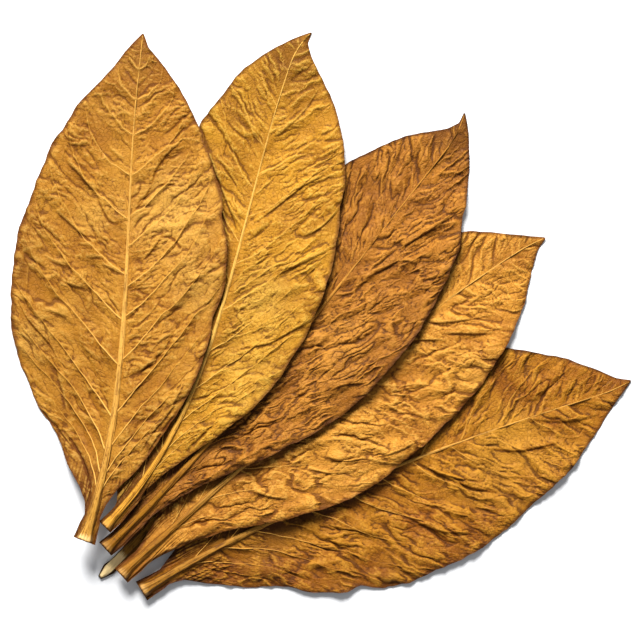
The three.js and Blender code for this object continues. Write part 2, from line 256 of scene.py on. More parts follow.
               Fold([(0.743, 0.76), (0.721, 0.58), (0.703, 0.47), (0.686, 0.34)], 1.1, 2.4, 7, 0.9),
               Fold([(0.674, 0.32), (0.65, 0.25), (0.627, 0.17), (0.626, 0.08)], 1.2, 2.4, 6, 0.9),
               Fold([(0.646, 0.71), (0.624, 0.56), (0.6, 0.41), (0.583, 0.27)], 1.1, 2.4, 7, 0.9),
               Fold([(0.557, 0.74), (0.542, 0.61), (0.534, 0.46)], 1.4, 1.8, 6, 0.8),
               Fold([(0.509, 0.57), (0.496, 0.42), (0.498, 0.3)], 1, 2, 6, 0.7),
               Fold([(0.556, 0.37), (0.558, 0.21)], 0.9, 1.8, 5, 0.7),
               Fold([(0.546, 0.23), (0.537, 0.14), (0.528, 0.06)], 1, 1.8, 5, 0.6),
               Fold([(0.461, 0.93), (0.424, 0.85), (0.377, 0.66), (0.351, 0.62), (0.336, 0.57)], 1, 2, 6, 0.8),
               Fold([(0.448, 0.67), (0.435, 0.51)], 0.9, 1.6, 5, 0.6),
               Fold([(0.322, 0.65), (0.302, 0.64), (0.277, 0.63), (0.246, 0.64)], 1.3, 2.4, 8, 0.9),
               Fold([(0.168, 0.74), (0.202, 0.93), (0.239, 1)], 1.1, -2, 0, 1),
               Fold([(0.705, -0.23), (0.733, -0.28), (0.769, -0.46), (0.79, -0.64)], 1.1, 2.2, 7, 0.8),
               Fold([(0.65, -0.04), (0.67, -0.13), (0.701, -0.23)], 0.9, 1.6, 5, 0.7),
               Fold([(0.705, -0.32), (0.709, -0.51)], 0.9, 1.6, 5, 0.6),
               Fold([(0.551, -0.15), (0.586, -0.29), (0.604, -0.33)], 1, 2, 6, 0.7),
               Fold([(0.58, -0.54), (0.601, -0.46), (0.604, -0.33)], 1, -1.6, 0, 0.7),
               Fold([(0.432, -0.18), (0.454, -0.31), (0.48, -0.37)], 1, 2, 6, 0.8),
               Fold([(0.377, -0.35), (0.407, -0.46), (0.416, -0.64)], 1.1, 2, 6, 0.8),
               Fold([(0.326, -0.21), (0.357, -0.37), (0.366, -0.46)], 1.1, 2.2, 6, 0.9),
               Fold([(0.288, -0.15), (0.305, -0.24), (0.326, -0.41)], 1, 1.8, 5, 0.7),
               Fold([(0.196, -0.3), (0.217, -0.44), (0.232, -0.46)], 1, 1.8, 5, 0.9),
               Fold([(0.189, -0.78), (0.227, -0.78), (0.267, -0.89), (0.321, -0.87)], 1.1, 2.2, 5, 1.1),
               Fold([(0.188, -0.96), (0.226, -0.95), (0.265, -0.98)], 1.1, -1.8, 0, 1.1),
               Fold([(0.509, -0.63), (0.527, -0.74)], 1, 1.8, 5, 0.7)],
              [(0.97, 0, 52, 1.2), (0.82, 0.6, 40, 0.7), (0.1, 0.8, 38, 0.8), (0.52, 0.95, 26, 0.4),
               (0.66, -0.45, 50, -0.8), (0.5, -0.75, 36, -0.6), (0.13, 0.68, 30, 0.5), (0.45, 0.35, 40, -0.3), (0.25, -0.5, 42, 0.5),
               (0.62, 0.94, 30, 0.7), (0.54, 0.93, 26, 0.6), (0.39, 0.47, 14, 0.7), (0.39, -0.45, 30, 0.4),
               (0.39, 0.83, 26, -0.6), (0.64, 0.41, 26, -0.5)], pith=0.6, pale="ecc684", drawn_in=0.2),
        seed=1,
    ),
]

# ---- Random relief ----


def noise(x, y, seed):
    """Smooth random waves between -1 and 1 or so, each about one unit long."""
    angles = np.random.default_rng(seed).uniform(0, 2 * np.pi, (256, 256))
    column, row = np.floor(x).astype(int), np.floor(y).astype(int)
    right, up = x - column, y - row

    def pull(dx, dy):
        angle = angles[(row + dy) % 256, (column + dx) % 256]
        return np.cos(angle) * (right - dx) + np.sin(angle) * (up - dy)

    def ease(part):
        return part**3 * (part * (part * 6 - 15) + 10)

    across, over = ease(right), ease(up)
    lower = pull(0, 0) * (1 - across) + pull(1, 0) * across
    upper = pull(0, 1) * (1 - across) + pull(1, 1) * across
    return 1.6 * (lower * (1 - over) + upper * over)


def creased(x, y, seed, sharpness=0.6):
    """Flat-topped swellings with sharp creases between them, from -0.7 in a crease to 0.3."""
    return np.tanh(np.abs(noise(x, y, seed)) * 3.0) ** sharpness - 0.7


def smoothstep(low, high, value):
    part = np.clip((value - low) / (high - low), 0, 1)
    return part * part * (3 - 2 * part)


def blurred(heights, rows, columns):
    """The heights evened out over so many rows and columns to each side."""
    for axis, reach in ((0, rows), (1, columns)):
        for _ in range(2):
            pad = [(0, 0), (0, 0)]
            pad[axis] = (reach + 1, reach)
            sums = np.cumsum(np.pad(heights, pad, mode="edge"), axis=axis)
            count = heights.shape[axis]
            later = np.take(sums, np.arange(count) + 2 * reach + 1, axis=axis)
            earlier = np.take(sums, np.arange(count), axis=axis)
            heights = (later - earlier) / (2 * reach + 1)
    return heights


# ---- The shape of a leaf seen from above ----


class RibLine:
    """The line of the rib, from the butt at 0 to the tip at 1."""

    def __init__(self, leaf):
        leaves, arrives = (np.array([math.cos(a), math.sin(a)]) for a in map(math.radians, leaf.headings))
        start = np.array(leaf.butt, float)
        end = np.array(leaf.tip, float) - leaf.hook * np.array([-arrives[1], arrives[0]])
        handle = np.linalg.norm(end - start) / 3
        stops = [start, start + leaves * handle, end - arrives * handle, end]
        t = np.linspace(0, 1, 2001)[:, None]
        weights = [(1 - t) ** 3, 3 * t * (1 - t) ** 2, 3 * t * t * (1 - t), t**3]
        self.points = sum(weight * stop for weight, stop in zip(weights, stops))
        steps = np.linalg.norm(np.diff(self.points, axis=0), axis=1)
        travelled = np.concatenate([[0], np.cumsum(steps)])
        self.length = travelled[-1]
        self.along = travelled / self.length
        tangents = np.gradient(self.points, axis=0)
        tangents /= np.linalg.norm(tangents, axis=1)[:, None]
        self.lefts = np.stack([-tangents[:, 1], tangents[:, 0]], 1)
        self.hook = leaf.hook

    def place(self, along, offset):
        """Points at these shares of the length, this far to the left of the rib."""
        point = [np.interp(along, self.along, self.points[:, k]) for k in (0, 1)]
        left = [np.interp(along, self.along, self.lefts[:, k]) for k in (0, 1)]
        aside = offset + self.hook * np.clip((along - HOOK_STARTS) / (1 - HOOK_STARTS), 0, 1) ** 2
        return point[0] + left[0] * aside, point[1] + left[1] * aside


def petiole_size(leaf, along):
    if not leaf.pointed:
        return np.ones_like(along)
    return POINT_SIZE + (1 - POINT_SIZE) * np.clip(along / POINT_LENGTH, 0, 1)


def half_width(leaf, half, along):
    waist = leaf.butt_half_width * WAIST
    flare = (leaf.butt_half_width - waist) * np.clip(1 - along / BLADE_STARTS, 0, 1) ** 2
    opened = np.clip((along - BLADE_STARTS) / (1 - BLADE_STARTS), 0, 1)
    rising = np.sin(np.pi / 2 * np.clip(opened / half.at, 0, 1) ** half.base)
    falling = np.cos(np.pi / 2 * np.clip((opened - half.at) / (1 - half.at), 0, 1) ** half.end)
    share = np.where(opened < half.at, rising, falling)
    wing = (waist - TIP_HALF_WIDTH) * np.clip((1 - along) / (1 - TIP_TAPER_STARTS), 0, 1)
    petiole = petiole_size(leaf, along) * (TIP_HALF_WIDTH + wing + flare)
    bumps = np.interp(along, *zip(*half.margin))
    return np.maximum(petiole + (half.width - waist) * np.maximum(0, share) + bumps, 0.3)


def rib_radius(leaf, along):
    taper = np.maximum(0, 1 - along) ** RIB_TAPER
    return petiole_size(leaf, along) * (RIB_TIP_RADIUS + (leaf.rib_radius - RIB_TIP_RADIUS) * taper)


# ---- The surface of a blade ----

# Side veins leave the rib in rows, and each row runs out towards the tip. A place on a blade is given by its
# row, which is the share of the length where that row leaves the rib, and by across, from -1 at the right
# margin to 1 at the left one.
ADVANCE = 0.3  # how much nearer the tip a row ends than it starts, as a share of the length


def along_of(row, across):
    advance = ADVANCE * (1 - np.exp(-row / 0.045)) * np.tanh(0.65 * (1 - row) / ADVANCE)
    share = np.abs(across)
    return row + advance * share * (0.65 + 0.35 * share)


def even_rows(count):
    """Rows spaced so that they are evenly apart half way to the margin."""
    fine = np.linspace(0, 1, 4001)
    reached = along_of(fine, 0.5)
    return np.interp(np.linspace(0, 1, count + 1), reached / reached[-1], fine)


class Blade:
    """The grid of places on one leaf's blade, and its relief."""

    def __init__(self, leaf):
        self.leaf = leaf
        self.line = RibLine(leaf)
        self.rows = even_rows(ROWS)
        self.columns = np.linspace(-1, 1, 2 * COLUMNS + 1)
        self.row, self.across = np.meshgrid(self.rows, self.columns, indexing="ij")
        self.along = along_of(self.row, self.across)
        left, right = (half_width(leaf, half, self.along) for half in (leaf.left, leaf.right))
        self.width = np.where(self.across > 0, left, right)
        self.x_along = self.along * self.line.length
        self.offset = self.across * self.ragged(self.width)
        self.x, self.y = self.line.place(self.along, self.offset)
        self.side = np.sign(self.across)
        self.out = np.abs(self.offset)
        self.to_margin = (1 - np.abs(self.across)) * self.width
        self.bed = self.draped()
        self.relief = self.crumpled()
        self.height = np.maximum(self.bed + self.relief, 0.8)

    def ragged(self, width):
        """The half-width with the small waves and nicks of a dry margin."""
        leaf, x = self.leaf, self.along * self.line.length
        side = np.where(self.across > 0, 0.0, 50.0)
        waves = 1.3 * noise(x / 26, side, leaf.seed + 400) + 0.7 * noise(x / 9, side, leaf.seed + 410)
        nicks = -1.6 * np.maximum(0, noise(x / 14, side, leaf.seed + 420) - 0.45)
        return width + (waves + nicks) * np.clip(width / 40, 0, 1)

    def draped(self):
        """Heights of the middle of the blade's solid, evened out."""
        solid = solid_tree(f"{self.leaf.name}_blade")
        rows, columns = self.rows[::5], self.columns[::5]
        row, across = np.meshgrid(rows, np.clip(columns, -0.97, 0.97), indexing="ij")
        along = np.clip(along_of(row, across), 0.004, 0.996)
        width = np.where(across > 0, half_width(self.leaf, self.leaf.left, along),
                         half_width(self.leaf, self.leaf.right, along))
        x, y = self.line.place(along, across * width)
        coarse = np.array([height_from_below(solid, *spot) for spot in zip(x.ravel(), y.ravel())])
        coarse = coarse.reshape(x.shape)
        finer = np.stack([np.interp(self.columns, columns, line) for line in coarse])
        fine = np.stack([np.interp(self.rows, rows, line) for line in finer.T], 1)
        thickness = self.line.length * THICKNESS_SHARE * (1 - MARGIN_THICKNESS * np.abs(self.across) ** 3)
        return blurred(fine, 9, 6) + thickness / 2

    def crumpled(self):
        """The relief of a dry blade: sags between its veins, wrinkles, pleats, crinkles and folds."""
        leaf, looks, seed = self.leaf, self.leaf.looks, self.leaf.seed * 1000
        x, out = self.x_along, self.out
        lobe = self.side * 37.0
        bend = 3 * noise(x / 24, self.offset / 24, seed + 1) + 1.2 * noise(x / 8, self.offset / 8, seed + 21)
        sway = 3 * noise(x / 24, self.offset / 24, seed + 2) + 1.2 * noise(x / 8, self.offset / 8, seed + 22)

        sag, ridges = self.veined(seed)
        fade_in = smoothstep(-1, 10, out - rib_radius(leaf, self.along))
        relief = looks.quilt * sag * smoothstep(-1, 22, self.to_margin)
        for number, (angle, width, length, height) in enumerate(looks.wrinkles):
            forward, aside = self.turned(angle, bend, sway)
            patchy = 0.7 + 1.3 * noise(x / 34, self.offset / 34, seed + 40 + number)
            relief += height * np.maximum(patchy, 0.15) * creased(forward / length + lobe, aside / width, seed + 30 + number)
        crinkles = creased((x + bend) / 4.6, (self.offset + sway) / 4.6, seed + 7)
        crinkles += 0.5 * creased((x + bend) / 2.9, (self.offset + sway) / 2.9, seed + 8)
        relief += looks.crinkles * crinkles
        forward, aside = self.turned(looks.wrinkles[0][0], bend, sway)
        swells = noise(forward / 46 + lobe, aside / 19, seed + 10)
        swells += 0.75 * noise(forward / 22 + lobe, aside / 11, seed + 9)
        relief += looks.swells * swells
        relief = relief * (0.35 + 0.65 * fade_in) + ridges
        droop = 1.2 * noise(x / 22, lobe, seed + 11) - 0.9
        relief += droop * smoothstep(8, 0, self.to_margin)
        relief *= 0.25 + 0.75 * smoothstep(0.02, 0.12, self.along)
        down = np.where(self.to_margin > 15, 3.0, 2.0)
        relief = np.where(relief > 0, 3.2 * np.tanh(relief / 3.2), down * np.tanh(relief / down))
        # painted shadow: darkens this blade along the margin of the leaf that lies over it, where that leaf shades it
        self.painted_shade = 1.5 * self.upper_margin_shadow()
        for fold in looks.folds:
            relief += self.folded(fold)
        return relief + self.pleated(seed)

    def upper_margin_shadow(self):
        """Painted shadow: 1 along the margins of the leaf that lies over this one, and nothing a few millimetres away;
        it darkens this leaf where the upper leaf's margin shades it.
        """
        closest = np.full(self.x.shape, 1e9)
        number = LEAVES.index(self.leaf) + 1
        for leaf in LEAVES[number : number + 1]:
            along = np.linspace(0.05, 1, 240)
            for hand, half in ((1, leaf.left), (-1, leaf.right)):
                margin = RibLine(leaf).place(along, hand * half_width(leaf, half, along))
                for spot in zip(*margin):
                    closest = np.minimum(closest, np.hypot(self.x - spot[0], self.y - spot[1]))
        reach = 3.2 + 5 * (1 - smoothstep(0.3, 0.6, self.along))
        return np.exp(-((closest / reach) ** 2))

    def pleated(self, seed):
        """Lengthwise pleats where the blade narrows to the stalk, and the upturned edges of its wings."""
        x, out = self.x_along, self.out
        narrow = 1 - smoothstep(0.05, 0.2, self.along)
        drift = 0.9 * noise(x / 35, self.side * 9.0, seed + 12)
        pleats = creased(out / 3.3 + drift + self.side * 21.0, x / 60, seed + 13, 1)
        upturn = 2.2 * (1 - smoothstep(0.03, 0.1, self.along)) * np.abs(self.across) ** 3
        return 1.5 * narrow * pleats * smoothstep(0, 4, out - 0.8 * rib_radius(self.leaf, self.along)) + upturn

    def stained_and_shaded(self):
        """How brown each place is, from -1 where it is palest to 1: real stains and paler patches, the brown wings by
        the stalk, and painted shadow under the margin of the leaf above and along the folds.
        """
        wings = (1 - smoothstep(0.02, 0.13, self.along)) * smoothstep(0.4, 0.9, np.abs(self.across))
        stain_and_shade = 1.6 * wings + self.painted_shade
        for along, across, radius, strength in self.leaf.looks.stains_and_shadows:
            side = self.leaf.left if across > 0 else self.leaf.right
            x, y = self.line.place(np.array(along), across * half_width(self.leaf, side, np.array(along)))
            away = np.hypot(self.x - x, self.y - y)
            stain_and_shade = stain_and_shade + strength * np.exp(-((away / radius) ** 2))
        return stain_and_shade

    def turned(self, degrees, bend, sway):
        """Distances along and across a direction at this angle out from the rib, on both halves."""
        turn = math.radians(degrees)
        x, out = self.x_along + bend, self.out + sway
        return x * math.cos(turn) + out * math.sin(turn), out * math.cos(turn) - x * math.sin(turn)

    def veined(self, seed):
        """How far the blade sags between its side veins, from 0 at a vein to -1 or so, and the veins' ridges."""
        sag, ridges = np.zeros_like(self.row), np.zeros_like(self.row)
        for hand, half in ((-1, self.leaf.right), (1, self.leaf.left)):
            rng = np.random.default_rng(seed + hand + 2)
            here = self.side == hand
            paths = [self.vein_row(hand, start, self.across) for start in half.veins]
            edges = np.stack([0 * self.row - 0.1, *paths, 0 * self.row + 1.1])
            cell = (self.row > edges).sum(0) - 1
            cell = np.clip(cell, 0, len(paths))
            low = np.take_along_axis(edges, cell[None], 0)[0]
            high = np.take_along_axis(edges, cell[None] + 1, 0)[0]
            part = np.clip((self.row - low) / (high - low), 0, 1)
            depth = rng.uniform(0.6, 1.2, len(paths) + 1)[cell]
            sag -= np.where(here, depth * np.sin(np.pi * part) ** 0.7, 0)
            away = np.minimum(self.row - low, high - self.row) * self.line.length * 0.65
            strength = 1.05 - 0.75 * np.abs(self.across) ** 1.3
            near = np.exp(-((away / 1.1) ** 2)) * strength
            ridges += np.where(here, 0.75 * self.leaf.looks.vein_size * near, 0)
        return sag, ridges

    def vein_row(self, hand, start, across):
        """The rows through which a side vein runs."""
        share = np.abs(across)
        wave = 0.008 * noise(share * 3.1, start * 77 + hand * 5, self.leaf.seed + 70)
        return start + (wave + 0.003 * noise(share * 11, start * 55 + hand, self.leaf.seed + 71)) * np.minimum(share * 4, 1)

    def folded(self, fold):
        """Height of one fold, by the distance of each place from its path."""
        along, across = (np.array(part, float) for part in zip(*fold.points))
        width = np.where(across > 0, half_width(self.leaf, self.leaf.left, along),
                         half_width(self.leaf, self.leaf.right, along))
        path = np.stack(self.line.place(along, across * width), 1)
        for _ in range(2):
            path = np.concatenate([path[:1], *[[a * 0.75 + b * 0.25, a * 0.25 + b * 0.75] for a, b in zip(path, path[1:])],
                                   path[-1:]])
        nearest = np.full(self.x.shape, 1e9)
        aside, travelled = np.zeros_like(nearest), np.zeros_like(nearest)
        run = 0.0
        for start, end in zip(path, path[1:]):
            step = end - start
            length = np.hypot(*step)
            part = np.clip(((self.x - start[0]) * step[0] + (self.y - start[1]) * step[1]) / length**2, 0, 1)
            dx, dy = self.x - start[0] - part * step[0], self.y - start[1] - part * step[1]
            distance = np.hypot(dx, dy)
            closer = distance < nearest
            nearest = np.where(closer, distance, nearest)
            aside = np.where(closer, np.sign(step[0] * dy - step[1] * dx) * distance, aside)
            travelled = np.where(closer, run + part * length, travelled)
            run += length
        ends = np.sin(np.pi * np.clip(travelled / run, 0, 1)) ** 0.5
        # painted shade: darkens the blade along the fold's line, where its crease or steep side lies in shade
        self.painted_shade += fold.brown * ends * np.exp(-((aside / (fold.width + 0.6)) ** 2))
        if not fold.shelf:
            return fold.height * ends * np.exp(-((aside / fold.width) ** 2))
        raised = smoothstep(-fold.width, fold.width, aside) * np.exp(-np.maximum(aside, 0) / fold.shelf)
        return fold.height * ends * raised * np.exp(-np.maximum(nearest - np.abs(aside), 0))


def solid_tree(node):
    """A tree for finding where lines meet a solid."""
    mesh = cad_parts[node].data
    corners = [vertex.co.copy() for vertex in mesh.vertices]
    return BVHTree.FromPolygons(corners, [tuple(face.vertices) for face in mesh.polygons])


def height_from_below(solid, x, y):
    hit = solid.ray_cast(Vector((x * MM, y * MM, -0.05)), Vector((0, 0, 1)))[0]
    if hit is None:
        hit = solid.find_nearest(Vector((x * MM, y * MM, 0)))[0]
    return hit.z / MM


# ---- Pieces ----


def add_piece(name, mesh, node, material):
    piece = bpy.data.objects.new(name, mesh)
    bpy.context.scene.collection.objects.link(piece)
    mesh.materials.append(material)
    mesh.polygons.foreach_set("use_smooth", [True] * len(mesh.polygons))
    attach(piece, "root")
    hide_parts(node)
    return piece


def set_attribute(mesh, name, values):
    layer = mesh.attributes.new(name, "FLOAT", "POINT")
    layer.data.foreach_set("value", values.astype(np.float32).ravel())


def sheet_mesh(name):
    """A flat closed sheet with a fine upper side and a coarser underside.

    Gives the column and row of each of its vertices, and which of them are on the upper side."""
    bm = bmesh.new()
    for level, step in ((1, 1), (-1, UNDERSIDE_STEP)):
        made = bmesh.ops.create_grid(bm, x_segments=COLUMNS // step, y_segments=ROWS // step, size=1)
        bmesh.ops.translate(bm, verts=made["verts"], vec=(0, 0, level))
    margins = [edge for edge in bm.edges if edge.is_boundary]
    wall = bmesh.ops.bridge_loops(bm, edges=margins)["faces"]
    bmesh.ops.recalc_face_normals(bm, faces=bm.faces)
    for edge in margins:
        edge.smooth = False
    for face in wall:
        face.smooth = False
    mesh = bpy.data.meshes.new(name)
    bm.to_mesh(mesh)
    bm.free()
    flat = np.empty(len(mesh.vertices) * 3, np.float32)
    mesh.vertices.foreach_get("co", flat)
    x, y, z = flat.reshape(-1, 3).T
    column = np.rint((x + 1) / 2 * COLUMNS).astype(int)
    row = np.rint((y + 1) / 2 * ROWS).astype(int)
    return mesh, column, row, z > 0


def add_half_blade(blade, hand, material):
    leaf = blade.leaf
    word = "left" if hand > 0 else "right"
    mesh, column, row, upper = sheet_mesh(f"{leaf.name}_{word}_half")
    if hand > 0:
        column = column + COLUMNS
    under = lowest_near(blade.height, UNDERSIDE_STEP) - BLADE_THICKNESS
    height = np.where(upper, blade.height[row, column], under[row, column])
    places = np.stack([blade.x[row, column], blade.y[row, column], height], -1) * MM
    mesh.vertices.foreach_set("co", places.astype(np.float32).ravel())
    # how far each place lies below or above its neighbours; the finish paints shade into these hollows and highlight
    # onto the ridges
    hollow = blade.relief - blurred(blade.relief, 2, 2)
    deep_hollow = blade.relief - blurred(blade.relief, 14, 14)
    set_attribute(mesh, "hollow", hollow[row, column])
    set_attribute(mesh, "wide_hollow", deep_hollow[row, column])
    set_attribute(mesh, "to_margin", blade.to_margin[row, column])
    set_attribute(mesh, "stain_and_shade", blade.stained_and_shaded()[row, column])
    recalculate(mesh)
    return add_piece(f"{leaf.name}_{word}_half", mesh, f"{leaf.name}_blade", material)


def lowest_near(heights, reach):
    """The lowest of the heights within so many rows and columns of each place."""
    padded = np.pad(heights, reach, mode="edge")
    for axis in (0, 1):
        windows = np.lib.stride_tricks.sliding_window_view(padded, 2 * reach + 1, axis=axis)
        padded = windows.min(-1)
    return padded


def rod_mesh(name, count, sides, rings, rims=0):
    """So many closed rods, all of unit size, with rims let into the first end.

    Gives for each vertex its rod, its place along it, its angle and its share of the radius."""
    bm = bmesh.new()
    for rod in range(count):
        made = bmesh.ops.create_cone(bm, cap_ends=True, segments=sides, radius1=1, radius2=1, depth=1)
        bmesh.ops.translate(bm, verts=made["verts"], vec=(0, 0, 2 * rod))
    lengthwise = [edge for edge in bm.edges if abs(edge.verts[0].co.z - edge.verts[1].co.z) > 0.5]
    bmesh.ops.subdivide_edges(bm, edges=lengthwise, cuts=rings - 1, use_grid_fill=True)
    cut = [face for face in bm.faces if len(face.verts) == sides and face.calc_center_median().z < 0]
    for _ in range(rims):
        bmesh.ops.inset_region(bm, faces=cut, thickness=0.22, use_even_offset=True)
    mesh = bpy.data.meshes.new(name)
    bm.to_mesh(mesh)
    bm.free()
    flat = np.empty(len(mesh.vertices) * 3, np.float32)
    mesh.vertices.foreach_get("co", flat)
    x, y, z = flat.reshape(-1, 3).T
    rod = np.rint(z / 2).astype(int)
    return mesh, rod, z - 2 * rod + 0.5, np.arctan2(y, x), np.hypot(x, y)


def sampled(blade, heights, row, across):
    """Values of a field of the blade's grid, between its places."""
    r = np.interp(row, blade.rows, np.arange(ROWS + 1))
    c = (across + 1) / 2 * (2 * COLUMNS)
    r0 = np.clip(r.astype(int), 0, ROWS - 1)
    c0 = np.clip(c.astype(int), 0, 2 * COLUMNS - 1)
    fr, fc = r - r0, c - c0
    lower = heights[r0, c0] * (1 - fc) + heights[r0, c0 + 1] * fc
    upper = heights[r0 + 1, c0] * (1 - fc) + heights[r0 + 1, c0 + 1] * fc
    return lower * (1 - fr) + upper * fr


def add_side_veins(blade, material):
    leaf = blade.leaf
    starts = [(hand, row) for hand, half in ((-1, leaf.right), (1, leaf.left)) for row in half.veins]
    mesh, rod, part, angle, _ = rod_mesh(f"{leaf.name}_side_veins", len(starts), 6, 60)
    hands = np.array([hand for hand, _ in starts])[rod]
    rows = np.array([row for _, row in starts])[rod]
    reach = 0.02 + 0.93 * part

    def centre(reach):
        across = hands * reach
        row = blade.vein_row(hands, rows, across)
        return [sampled(blade, values, row, across) for values in (blade.x, blade.y, blade.height)]

    x, y, z = centre(reach)
    ahead = centre(reach + 0.02)
    size = leaf.looks.vein_size * (0.75 * (1 - part) ** 1.2 + 0.2) * np.clip(1.15 - rows, 0.3, 1)
    run = np.hypot(ahead[0] - x, ahead[1] - y) + 1e-9
    sideways = np.cos(angle) * size / run
    x, y = x - (ahead[1] - y) * sideways, y + (ahead[0] - x) * sideways
    z = z + np.sin(angle) * size * 0.7
    mesh.vertices.foreach_set("co", (np.stack([x, y, z], 1) * MM).astype(np.float32).ravel())
    set_attribute(mesh, "part", part)
    recalculate(mesh)
    return add_piece(mesh.name, mesh, f"{leaf.name}_blade", material)


def recalculate(mesh):
    """Turns every face outwards."""
    bm = bmesh.new()
    bm.from_mesh(mesh)
    bmesh.ops.recalc_face_normals(bm, faces=bm.faces)
    bm.to_mesh(mesh)
    bm.free()


def add_rib(blade, material):
    leaf, line = blade.leaf, blade.line
    mesh, _, part, angle, spread = rod_mesh(f"{leaf.name}_midrib", 1, 40, 420, rims=3)
    from_butt = part * line.length
    radius = rib_radius(leaf, part * RIB_END_SEEN)
    aside = np.cos(angle)
    grooves = 0.26 * creased(aside * 2.3 + 0.5 * noise(part * 8, 0 * part, leaf.seed + 79), part * 6, leaf.seed + 80)
    grooves += 0.12 * creased(aside * 5, part * 17, leaf.seed + 81)
    knots = 0.05 * noise(part * 45, aside, leaf.seed + 82)
    flare = 0.3 * np.exp(-from_butt / 7)
    drawn_in = leaf.looks.drawn_in * smoothstep(0, 0.03, part) * (1 - smoothstep(0.25, 0.5, part))
    radius = radius * (1 + (grooves + knots) * smoothstep(0.6, 3, radius) + flare - drawn_in) * spread
    ragged = (1.0 + 1.0 * noise(angle * 1.3, 0 * angle, leaf.seed + 83)) * np.exp(-from_butt / 5)
    hollow = 2.2 * smoothstep(0.95, 0.5, spread)
    along = np.clip(part * RIB_END_SEEN + (ragged + hollow) / line.length, 0, 1)
    widest = rib_height(blade, along)
    up = np.sin(angle)
    x, y = line.place(along, aside * radius)
    z = np.maximum(widest + np.where(up > 0, RIB_CROWN, 0.6) * up * radius, 0.2)
    mesh.vertices.foreach_set("co", (np.stack([x, y, z], 1) * MM).astype(np.float32).ravel())
    set_attribute(mesh, "from_butt", from_butt + 3 * (1 - spread))
    set_attribute(mesh, "aside", aside)
    set_attribute(mesh, "groove", grooves)
    recalculate(mesh)
    return add_piece(mesh.name, mesh, f"{leaf.name}_rib", material)


def rib_height(blade, along):
    """Height of the rib's widest line, from its solid as far as that reaches and from the blade past it."""
    leaf = blade.leaf
    solid = solid_tree(f"{leaf.name}_rib")
    stops = np.linspace(0.004, RIB_ENDS - 0.004, 90)
    tops = []
    for x, y in zip(*blade.line.place(stops, 0 * stops)):
        hit = solid.ray_cast(Vector((x * MM, y * MM, 0.2)), Vector((0, 0, -1)))[0]
        tops.append(hit.z / MM)
    widest = np.array(tops) - RIB_CROWN * rib_radius(leaf, stops)
    widest = blurred(widest[:, None], 4, 0)[:, 0]
    middle = blade.height[:, COLUMNS]
    past = np.interp(along, blade.rows, middle) + 0.2
    held = np.interp(along, stops, widest)
    share = smoothstep(RIB_ENDS - 0.12, RIB_ENDS - 0.01, along)
    return held * (1 - share) + past * share


# ---- Finishes ----


def colour(code):
    """A screen colour as the light it stands for."""
    parts = [int(code[k : k + 2], 16) / 255 for k in (0, 2, 4)]
    return [*(p / 12.92 if p <= 0.04045 else ((p + 0.055) / 1.055) ** 2.4 for p in parts), 1]


class Nodes:
    """A short way to build a material's nodes."""

    def __init__(self, name):
        self.material = bpy.data.materials.new(name)
        self.material.use_nodes = True
        self.tree = self.material.node_tree
        self.shader = self.tree.nodes["Principled BSDF"]

    def add(self, kind, inputs=(), **settings):
        node = self.tree.nodes.new(kind)
        for key, value in settings.items():
            setattr(node, key, value)
        for key, value in dict(inputs).items():
            self.feed(node.inputs[key], value)
        return node

    def feed(self, socket, value):
        if isinstance(value, bpy.types.NodeSocket):
            self.tree.links.new(value, socket)
        else:
            socket.default_value = value

    def attribute(self, name):
        return self.add("ShaderNodeAttribute", attribute_name=name).outputs["Fac"]

    def between(self, value, low, high, to_low=0.0, to_high=1.0):
        inputs = {"Value": value, "From Min": low, "From Max": high, "To Min": to_low, "To Max": to_high}
        return self.add("ShaderNodeMapRange", inputs, interpolation_type="SMOOTHSTEP").outputs["Result"]

    def noise(self, place, scale, detail=4.0, rough=0.55, warp=0.0):
        inputs = {"Vector": place, "Scale": scale, "Detail": detail, "Roughness": rough, "Distortion": warp}
        return self.add("ShaderNodeTexNoise", inputs).outputs["Fac"]

    def crackle(self, place, scale):
        """How far each place is from the lines of a fine, uneven net."""
        shift = self.add("ShaderNodeTexNoise", {"Vector": place, "Scale": scale * 0.4, "Detail": 3.0}).outputs["Color"]
        pull = self.add("ShaderNodeVectorMath", operation="SCALE")
        self.feed(pull.inputs[0], shift)
        self.feed(pull.inputs["Scale"], 3.0 / scale)
        moved = self.add("ShaderNodeVectorMath", operation="ADD")
        self.feed(moved.inputs[0], place)
        self.feed(moved.inputs[1], pull.outputs[0])
        inputs = {"Vector": moved.outputs[0], "Scale": scale}
        return self.add("ShaderNodeTexVoronoi", inputs, feature="DISTANCE_TO_EDGE").outputs["Distance"]

    def blend(self, share, first, second, how="MIX"):
        node = self.add("ShaderNodeMix", data_type="RGBA", blend_type=how)
        self.feed(node.inputs["Factor"], share)
        colours = [socket for socket in node.inputs if socket.type == "RGBA"]
        self.feed(colours[0], first)
        self.feed(colours[1], second)
        return [socket for socket in node.outputs if socket.type == "RGBA"][0]

    def sum(self, first, second, how="ADD"):
        node = self.add("ShaderNodeMath", operation=how)
        self.feed(node.inputs[0], first)
        self.feed(node.inputs[1], second)
        return node.outputs[0]

    def bump(self, height, distance, strength=1.0):
        inputs = {"Height": height, "Distance": distance, "Strength": strength}
        return self.add("ShaderNodeBump", inputs).outputs["Normal"]


